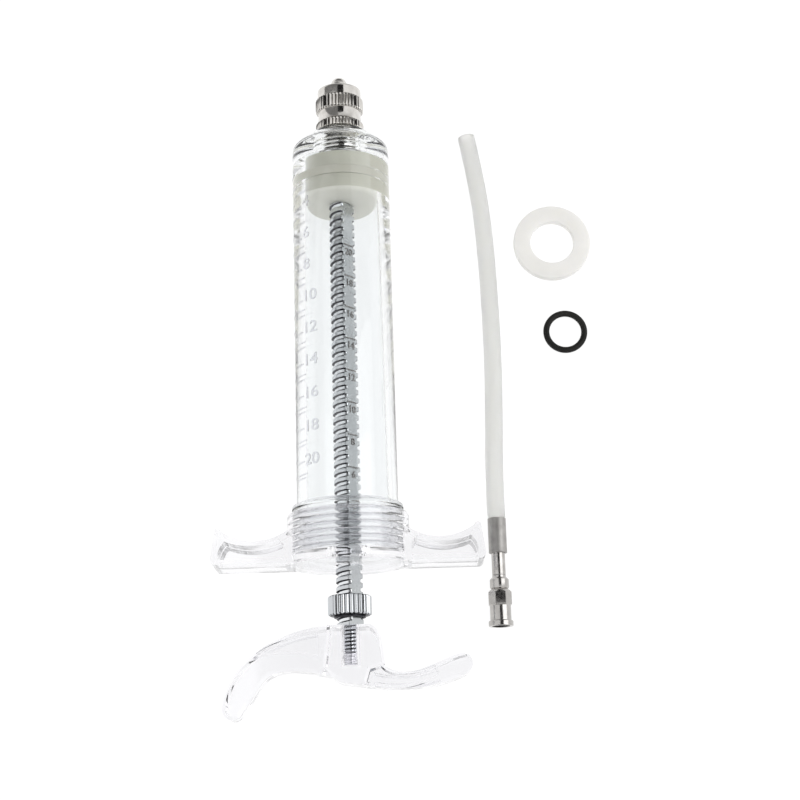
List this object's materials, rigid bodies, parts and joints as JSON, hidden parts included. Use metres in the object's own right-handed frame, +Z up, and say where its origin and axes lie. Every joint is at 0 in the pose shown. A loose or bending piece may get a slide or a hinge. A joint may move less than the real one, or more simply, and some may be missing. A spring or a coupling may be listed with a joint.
{
  "type": "meat injector",
  "caption": "Clear dosing syringe for meat with a luer nozzle, threaded plunger rod, dose nut, winged cap and curved palm handle, beside its feeding tube and spare seals.",
  "frame": {"origin": "on the syringe's axis, at the middle of the straight part of the luer tip", "axes": "+Y along the syringe's axis towards the outlet, +X to the right along the cap's wings, +Z up from the surface that the object lies on, which is 13.6 mm below the axis"},
  "size_m": [0.0889, 0.1496, 0.0272],
  "materials": {
    "clear_plastic": "clear, polished",
    "nickel_plate": "nickel plated, bright",
    "steel_rod": "plated, satin to bright",
    "brushed_ferrule": "brushed lengthways",
    "cream_plastic": "smooth moulded",
    "white_silicone": "satin, slightly see-through",
    "milky_silicone": "satin, milky",
    "black_rubber": "satin"
  },
  "bodies": {
    "syringe_body": {"barrel": "clear_plastic", "nozzle_body": "nickel_plate", "luer_lock_collar": "nickel_plate", "nozzle_seal": "black_rubber", "end_cap": "clear_plastic"},
    "piston": {"piston_head": "cream_plastic", "piston_seal": "white_silicone", "piston_back": "cream_plastic"},
    "plunger": {"plunger_rod": "steel_rod", "piston_washer": "steel_rod", "piston_screw": "steel_rod", "handle": "clear_plastic"},
    "nut_carrier": {"nut_washer": "steel_rod"},
    "nut": {"dose_nut": "nickel_plate"},
    "feeding_tube": {"hose": "milky_silicone", "hose_ferrule": "brushed_ferrule", "connector_stem": "nickel_plate", "luer_socket": "nickel_plate"},
    "spare_seal": {"spare_seal_ring": "white_silicone"},
    "spare_ring": {"spare_o_ring": "black_rubber"}
  },
  "joints": [
    {"name": "plunger_slide", "type": "slide", "parent": "syringe_body", "child": "piston", "axis": [0, -1, 0], "range_m": [0, 0.0753]},
    {"name": "plunger_turn", "type": "hinge", "parent": "piston", "child": "plunger", "pos_m": [0, -0.1257, 0], "axis": [0, 1, 0], "continuous": true},
    {"name": "nut_travel", "type": "slide", "parent": "plunger", "child": "nut_carrier", "axis": [0, 1, 0], "range_m": [-0.0017, 0.0062]},
    {"name": "nut_spin", "type": "hinge", "parent": "nut_carrier", "child": "nut", "pos_m": [0, -0.12115, 0], "axis": [0, 1, 0], "range_deg": [-320, 1130]},
    {"name": "tube_lift", "type": "slide", "parent": "syringe_body", "child": "feeding_tube", "axis": [0, 0, 1], "range_m": [0, 0.03]},
    {"name": "seal_lift", "type": "slide", "parent": "syringe_body", "child": "spare_seal", "axis": [0, 0, 1], "range_m": [0, 0.03]},
    {"name": "o_ring_lift", "type": "slide", "parent": "syringe_body", "child": "spare_ring", "axis": [0, 0, 1], "range_m": [0, 0.03]}
  ],
  "couplings": [
    {"joint": "nut_spin", "follows": "nut_travel", "rad_per_m": 3141.6}
  ]
}
